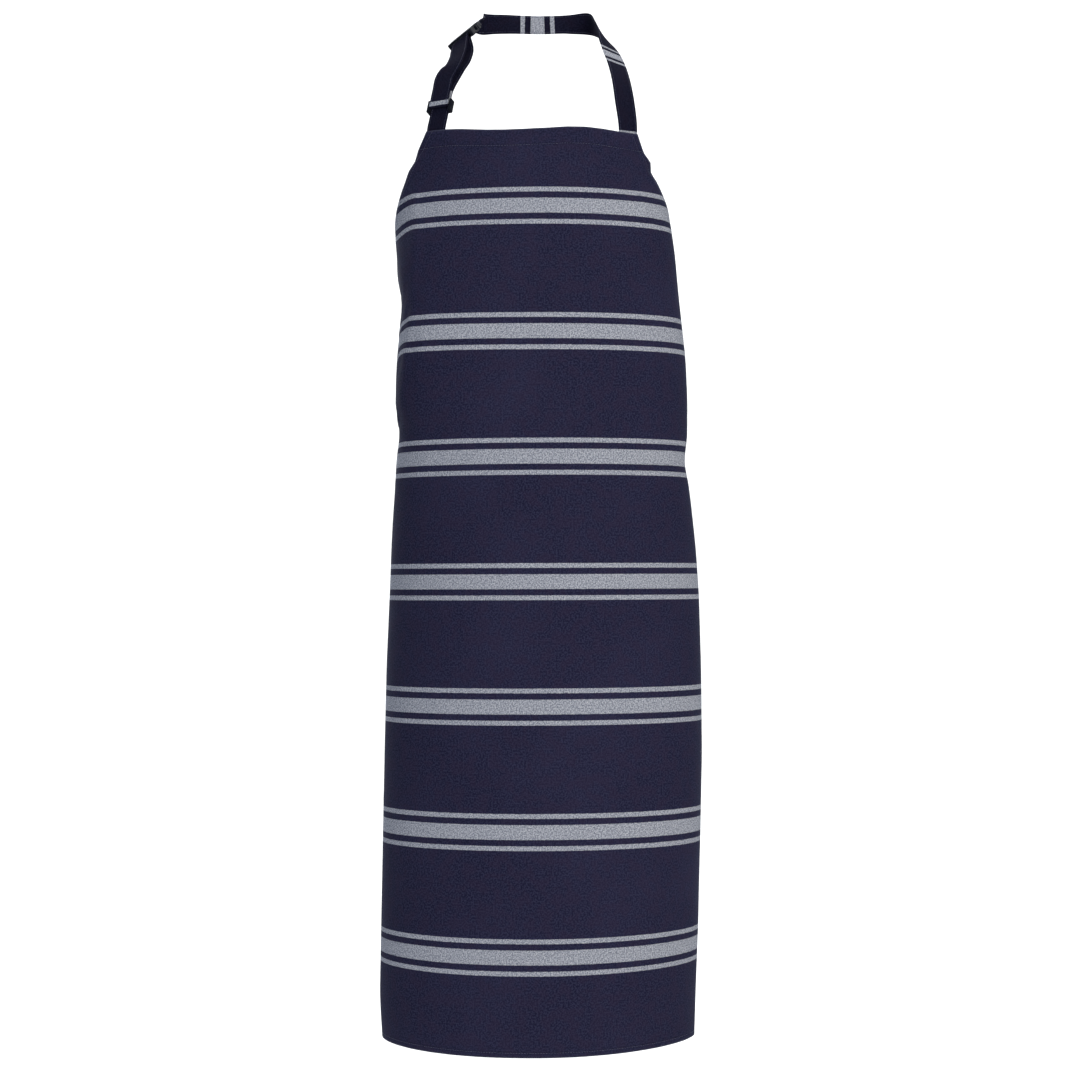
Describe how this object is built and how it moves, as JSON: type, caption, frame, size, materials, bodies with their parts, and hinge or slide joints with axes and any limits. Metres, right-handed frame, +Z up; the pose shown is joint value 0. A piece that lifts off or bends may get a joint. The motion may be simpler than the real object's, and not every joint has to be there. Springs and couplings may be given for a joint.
{
  "type": "bib apron",
  "caption": "Striped woven bib apron, worn shape, with a neck strap that adjusts by a slider and opens by a plastic clip, and waist ties in a bow.",
  "frame": {"origin": "middle of the neck strap where it lies on the back of the wearer's neck", "axes": "+Z up, -Y the way the wearer and the bib face, +X to the right of somebody who faces the bib"},
  "size_m": [0.36, 0.2267, 1.1982],
  "materials": {
    "apron_cloth": "matt navy twill with pale grey stripes",
    "strap_cloth": "matt navy twill, folded and stitched flat",
    "clip_plastic": "smooth black moulded plastic"
  },
  "bodies": {
    "apron": {"body_panel": "apron_cloth", "top_hem": "apron_cloth", "left_armhole_hem": "apron_cloth", "right_armhole_hem": "apron_cloth", "left_side_hem": "apron_cloth", "right_side_hem": "apron_cloth", "bottom_hem": "apron_cloth", "neck_strap": "strap_cloth", "adjusting_strap": "strap_cloth", "clip_socket": "clip_plastic", "left_waist_tie": "strap_cloth", "right_waist_tie": "strap_cloth", "waist_knot": "strap_cloth", "left_bow_loop": "strap_cloth", "right_bow_loop": "strap_cloth", "left_tie_tail": "strap_cloth", "right_tie_tail": "strap_cloth"},
    "clip_plug_body": {"clip_plug": "clip_plastic", "plug_strap_end": "strap_cloth"},
    "left_prong_body": {"left_prong": "clip_plastic"},
    "right_prong_body": {"right_prong": "clip_plastic"},
    "slider_body": {"strap_slider": "clip_plastic", "slider_strap_end": "strap_cloth"}
  },
  "joints": [
    {"name": "clip_release", "type": "slide", "parent": "apron", "child": "clip_plug_body", "axis": [0.1599, 0.8957, 0.4149], "range_m": [0, 0.017]},
    {"name": "left_prong_squeeze", "type": "hinge", "parent": "clip_plug_body", "child": "left_prong_body", "pos_m": [-0.0929, -0.07948, -0.03771], "axis": [-0.6169, -0.2374, 0.7504], "range_deg": [0, 17]},
    {"name": "right_prong_squeeze", "type": "hinge", "parent": "clip_plug_body", "child": "right_prong_body", "pos_m": [-0.0761, -0.08768, -0.02649], "axis": [0.6169, 0.2374, -0.7504], "range_deg": [0, 17]},
    {"name": "slider_adjust", "type": "slide", "parent": "apron", "child": "slider_body", "axis": [0.16, 0.3301, 0.9303], "range_m": [-0.01, 0.01]}
  ],
  "couplings": [
    {"joint": "left_prong_squeeze", "follows": "clip_release", "rad_per_m": 16.6},
    {"joint": "right_prong_squeeze", "follows": "clip_release", "rad_per_m": 16.6}
  ]
}
